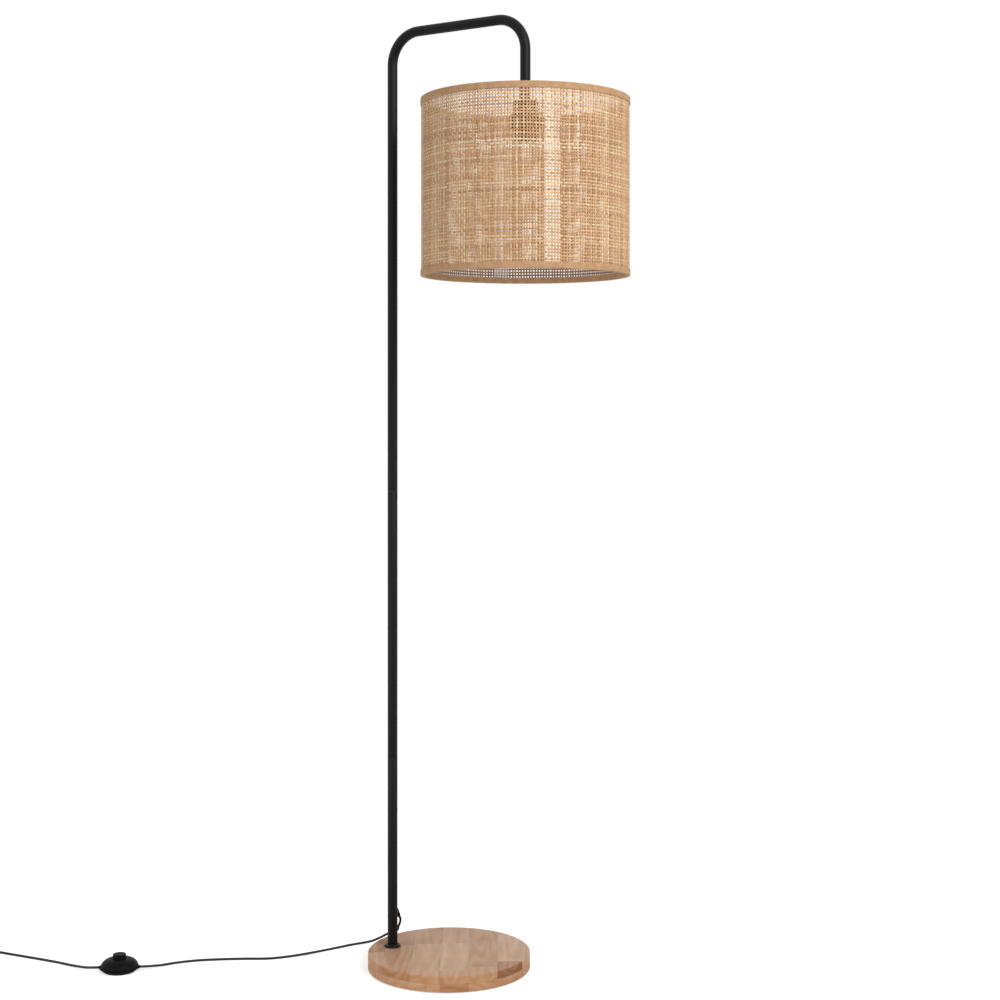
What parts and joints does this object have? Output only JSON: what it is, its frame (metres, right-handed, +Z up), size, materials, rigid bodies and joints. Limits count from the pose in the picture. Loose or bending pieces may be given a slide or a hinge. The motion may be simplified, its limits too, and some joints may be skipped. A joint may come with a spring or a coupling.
{
  "type": "floor lamp",
  "caption": "Floor lamp with a round wooden base, a black bent tube and a woven rattan drum shade that hangs from its end, with a foot switch in the lead",
  "frame": {"origin": "centre of the round base's underside, on the floor (mount floor_face)", "axes": "+Z up along the pole, +X from the pole towards the shade along the arm, +Y completes the frame"},
  "size_m": [1.1171, 0.5284, 1.5],
  "materials": {
    "birch_board": "clear matt lacquer on pale wood with visible stave joints",
    "black_steel": "satin black powder coat",
    "plain_steel": "zinc-plated steel",
    "contact_brass": "bright brass",
    "white_wire": "white coated wire",
    "black_moulding": "fine matt moulded black",
    "holder_insulator": "glazed white",
    "rattan_weave": "plain weave of flat rattan strands, cream to brown",
    "rim_tape": "woven tan tape",
    "seam_film": "thin white joining film",
    "base_felt": "dark pressed felt",
    "black_cord": "smooth black sheath"
  },
  "bodies": {
    "stand": {"base_felt": "base_felt", "base_lower_board": "birch_board", "base_upper_board": "birch_board", "ballast_plate": "plain_steel", "ballast_screw_1": "plain_steel", "ballast_screw_2": "plain_steel", "ballast_screw_3": "plain_steel", "base_bolt": "plain_steel", "base_washer": "plain_steel", "pole_foot_insert": "plain_steel", "pole_collar": "black_steel", "lower_pole": "black_steel", "middle_pole": "black_steel", "gooseneck": "black_steel", "lower_joint_sleeve": "plain_steel", "upper_joint_sleeve": "plain_steel", "tube_end_bush": "plain_steel", "lead_bushing": "black_moulding", "inner_lead": "black_cord", "holder_nipple": "plain_steel", "holder_lock_nut": "plain_steel", "holder_cap": "black_moulding", "holder_core": "holder_insulator", "terminal_screw_1": "contact_brass", "terminal_screw_2": "contact_brass", "contact_tongue": "contact_brass", "screw_shell": "contact_brass", "holder_skirt": "black_moulding", "shade_ring": "black_moulding", "switch_lower_shell": "black_moulding", "switch_upper_shell": "black_moulding", "switch_screw_1": "plain_steel", "switch_screw_2": "plain_steel", "contact_block": "black_moulding", "fixed_contact_1": "contact_brass", "fixed_contact_2": "contact_brass", "button_spring": "plain_steel", "switch_sleeve_lamp_side": "black_moulding", "switch_sleeve_plug_side": "black_moulding", "switch_lead_lamp_side": "black_cord", "switch_lead_plug_side": "black_cord", "cord_pole_to_switch": "black_cord", "cord_switch_to_coil": "black_cord", "cord_coil": "black_cord", "coil_tie": "black_moulding", "plug_body": "black_moulding", "plug_pin_1": "contact_brass", "plug_pin_2": "contact_brass"},
    "shade": {"spider": "white_wire", "top_hoop": "white_wire", "bottom_hoop": "white_wire", "rattan_wall": "rattan_weave", "seam_film_1": "seam_film", "seam_film_2": "seam_film", "top_trim": "rim_tape", "bottom_trim": "rim_tape"},
    "foot_button": {"switch_button": "black_moulding", "contact_bridge": "contact_brass"}
  },
  "joints": [
    {"name": "button_press", "type": "slide", "parent": "stand", "child": "foot_button", "axis": [0, 0, -1], "range_m": [0, 0.0042], "stiffness_N_per_m": 900, "springref_m": -0.002, "deforming": ["button_spring"]},
    {"name": "shade_turn", "type": "hinge", "parent": "stand", "child": "shade", "pos_m": [0.16112, -0.0306, 1.3363], "axis": [0, 0, 1], "continuous": true}
  ]
}
